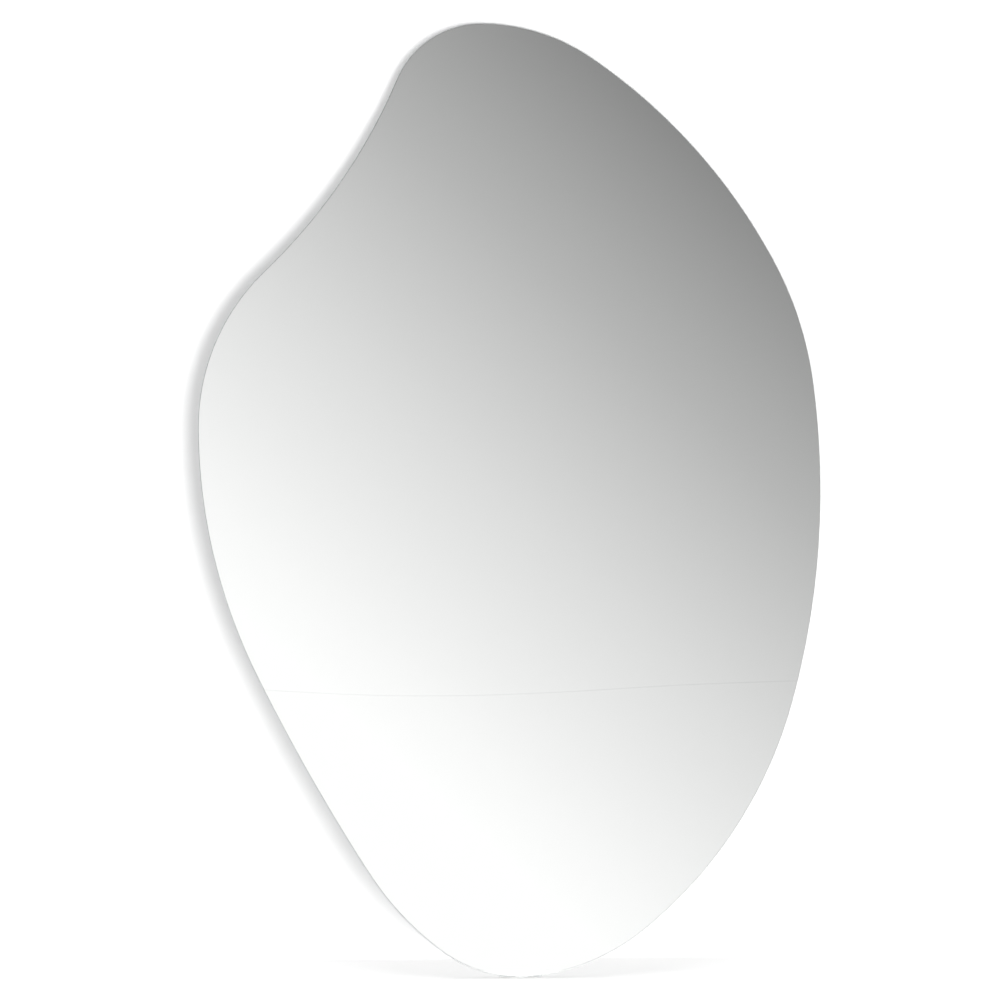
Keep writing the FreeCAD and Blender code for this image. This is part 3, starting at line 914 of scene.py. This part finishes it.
def plaster(name, glow, reflected, one_sided):
    """Matt white paint for the floor and the wall. A one-sided surface can't be seen from behind."""
    material, tree = new_material(name)
    matt = add_node(tree, "ShaderNodeBsdfDiffuse", {"Color": colour(PLASTER)})
    white = backdrop_glow(tree, glow, reflected)
    shader = add_node(tree, "ShaderNodeAddShader", {0: matt.outputs[0], 1: white})
    if one_sided:
        behind = add_node(tree, "ShaderNodeNewGeometry").outputs["Backfacing"]
        clear = add_node(tree, "ShaderNodeBsdfTransparent")
        shader = add_node(tree, "ShaderNodeMixShader", {0: behind, 1: shader.outputs[0], 2: clear.outputs[0]})
    add_node(tree, "ShaderNodeOutputMaterial", {"Surface": shader.outputs[0]})
    return material


def stage_plane(name, corners, material):
    """A flat part of the stage. Its corners run counter-clockwise round the side that is seen."""
    mesh = bpy.data.meshes.new(name)
    mesh.from_pydata([tuple(corner) for corner in corners], [], [tuple(range(len(corners)))])
    mesh.materials.append(material)
    plane = bpy.data.objects.new(name, mesh)
    bpy.context.scene.collection.objects.link(plane)
    return plane


def make_room():
    """The floor that the mirror stands on and the wall that its bumpers touch."""
    foot = Vector((0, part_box("floor_pad_left")[1].y, 0))
    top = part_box("wall_bumpers")[1]
    wall = TO_WALL * Vector((0, top.y, top.z)).dot(TO_WALL) + UPRIGHT * foot.dot(UPRIGHT)
    wide = RIGHT * STAGE_HALF_WIDTH
    near, far = foot - TO_WALL * FLOOR_FRONT, foot + TO_WALL * FLOOR_REAR
    floor_corners = (near - wide, near + wide, far + wide, far - wide)
    ground = stage_plane("floor", floor_corners, plaster("floor_paint", FLOOR_GLOW, FLOOR_IN_MIRROR, False))
    ground.visible_shadow = False
    rise = UPRIGHT * WALL_HEIGHT
    wall_corners = (wall - wide, wall + wide, wall + wide + rise, wall - wide + rise)
    surface = stage_plane("wall", wall_corners, plaster("wall_paint", WALL_GLOW, WALL_GLOW, True))
    surface.visible_shadow = False
    surface.visible_diffuse = False


def show_only_in_mirror(thing):
    """Let only mirrors and glass see a part of the stage."""
    thing.visible_camera = False
    thing.visible_diffuse = False
    thing.visible_shadow = False
    thing.visible_volume_scatter = False


def screen_paint(camera, depth):
    """The reflected studio, as painted light: one even slope of glowing grey, darkest at the upper right."""
    material, tree = new_material("screen_light")
    place = add_node(tree, "ShaderNodeTexCoord").outputs["Object"]
    slope = Vector((-math.cos(SCREEN_SLOPE), 0, -math.sin(SCREEN_SLOPE)))
    along = add_node(tree, "ShaderNodeVectorMath", {0: place, 1: slope}, operation="DOT_PRODUCT")
    first, last = min(SCREEN_GREYS), max(SCREEN_GREYS)
    ends = []
    for distance in (first, last):
        pixel = (PHOTO_WIDTH / 2 + slope.x * distance, PHOTO_WIDTH / 2 - slope.z * distance)
        ends.append(reflected_spot(camera, pixel, depth).dot(slope))
    share = add_node(
        tree,
        "ShaderNodeMapRange",
        {"Value": along.outputs["Value"], "From Min": ends[0], "From Max": ends[1]},
    )
    ramp = add_node(tree, "ShaderNodeValToRGB", {"Fac": share.outputs[0]})
    stops = ramp.color_ramp.elements
    stops[0].color = colour(SCREEN_GREYS[first])
    stops[1].color = colour(SCREEN_GREYS[last])
    for distance, code in SCREEN_GREYS.items():
        if first < distance < last:
            stops.new((distance - first) / (last - first)).color = colour(code)
    # The screen's grey glows: a painted reflection of the studio's light, darkest where it falls off at the
    # upper right.
    light = add_node(tree, "ShaderNodeEmission", {"Color": ramp.outputs[0], "Strength": SCREEN_GAIN})
    add_node(tree, "ShaderNodeOutputMaterial", {"Surface": light.outputs[0]})
    return material


def seam_shade():
    """A faint shade, so that the seam darkens what is behind it a little."""
    material, tree = new_material("seam_shade")
    clear = add_node(tree, "ShaderNodeBsdfTransparent")
    dark = add_node(tree, "ShaderNodeBsdfDiffuse", {"Color": colour("#000000")})
    shader = add_node(tree, "ShaderNodeMixShader", {0: SEAM_SHADE, 1: clear.outputs[0], 2: dark.outputs[0]})
    add_node(tree, "ShaderNodeOutputMaterial", {"Surface": shader.outputs[0]})
    return material


def reflected_spot(camera, pixel, depth):
    """Where the mirror shows a point of a plane parallel to it at that depth, if it is seen at a pixel."""
    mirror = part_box("silver_coating")[0].y
    across = (pixel[0] - PHOTO_WIDTH / 2) / FOCAL_LENGTH
    down = (pixel[1] - PHOTO_WIDTH / 2) / FOCAL_LENGTH
    ray = camera.matrix_world.to_3x3() @ Vector((across, -down, -1))
    spot = camera.location + ray * (mirror - camera.location.y) / ray.y
    ray.y = -ray.y
    return spot + ray * (depth - mirror) / ray.y


def make_reflected_studio(camera):
    """The screen in front of the mirror and the seam along its foot."""
    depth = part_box("mirror_glass")[0].y - SCREEN_DISTANCE
    base = depth * math.tan(LEAN)
    left, right = -SCREEN_HALF_WIDTH, SCREEN_HALF_WIDTH
    corners = (
        (right, depth, base), (left, depth, base), (left, depth, SCREEN_HEIGHT), (right, depth, SCREEN_HEIGHT)
    )
    show_only_in_mirror(stage_plane("screen", corners, screen_paint(camera, depth)))
    line = bpy.data.curves.new("seam", "CURVE")
    line.dimensions = "3D"
    line.bevel_depth = SEAM_WIDTH / 2
    spline = line.splines.new("NURBS")
    spline.points.add(len(SEAM_PIXELS) - 1)
    for point, pixel in zip(spline.points, SEAM_PIXELS):
        point.co = (*reflected_spot(camera, pixel, depth + 2 * SEAM_WIDTH), 1.0)
    spline.order_u = 4
    spline.use_endpoint_u = True
    spline.resolution_u = SEAM_STEPS
    line.materials.append(seam_shade())
    seam = bpy.data.objects.new("seam", line)
    bpy.context.scene.collection.objects.link(seam)
    show_only_in_mirror(seam)


def make_camera():
    """The camera at the photograph's angle."""
    data = bpy.data.cameras.new("camera")
    data.sensor_width = SENSOR_WIDTH
    data.lens = FOCAL_LENGTH / PHOTO_WIDTH * SENSOR_WIDTH
    camera = bpy.data.objects.new("camera", data)
    bpy.context.scene.collection.objects.link(camera)
    level = math.cos(CAMERA_RISE)
    left, forward = math.sin(CAMERA_TO_LEFT) * level, math.cos(CAMERA_TO_LEFT) * level
    back = Vector((-left, -forward, math.sin(CAMERA_RISE)))
    camera.location = CAMERA_AIM + back * CAMERA_DISTANCE
    camera.rotation_euler = (-back).to_track_quat("-Z", "Y").to_euler()
    bpy.context.scene.camera = camera
    bpy.context.view_layer.update()
    return camera


def make_lamp(name, level, place, spread):
    """A broad lamp far away."""
    data = bpy.data.lights.new(name, "SUN")
    data.angle = spread
    data.energy = level * math.pi
    lamp = bpy.data.objects.new(name, data)
    bpy.context.scene.collection.objects.link(lamp)
    towards = RIGHT * place[0] + TO_WALL * place[1] + UPRIGHT * place[2]
    lamp.rotation_euler = towards.to_track_quat("Z", "Y").to_euler()
    return lamp


def make_lights():
    """The lamps and the sky, which looks white and lights the stage at a level of its own. A surface that
    faces the front lamp is lit at about 1."""
    make_lamp("front_light", FRONT_LEVEL, FRONT_PLACE, FRONT_SPREAD)
    make_lamp("top_light", TOP_LEVEL, TOP_PLACE, TOP_SPREAD)
    rear = make_lamp("rear_light", REAR_LEVEL, REAR_PLACE, REAR_SPREAD)
    rear.visible_glossy = False
    rear.visible_transmission = False

    world = bpy.data.worlds.new("studio")
    bpy.context.scene.world = world
    world.use_nodes = True
    tree = world.node_tree
    tree.nodes.clear()
    path = add_node(tree, "ShaderNodeLightPath")
    level = add_node(
        tree,
        "ShaderNodeMath",
        {0: path.outputs["Is Diffuse Ray"], 1: SKY_LEVEL - 1, 2: 1.0},
        operation="MULTIPLY_ADD",
    )
    sky = add_node(tree, "ShaderNodeBackground", {"Color": colour("#FFFFFF"), "Strength": level.outputs[0]})
    add_node(tree, "ShaderNodeOutputWorld", {"Surface": sky.outputs[0]})


bpy.context.scene.view_settings.view_transform = "Standard"
camera = make_camera()
make_mirror()
make_room()
make_reflected_studio(camera)
make_lights()
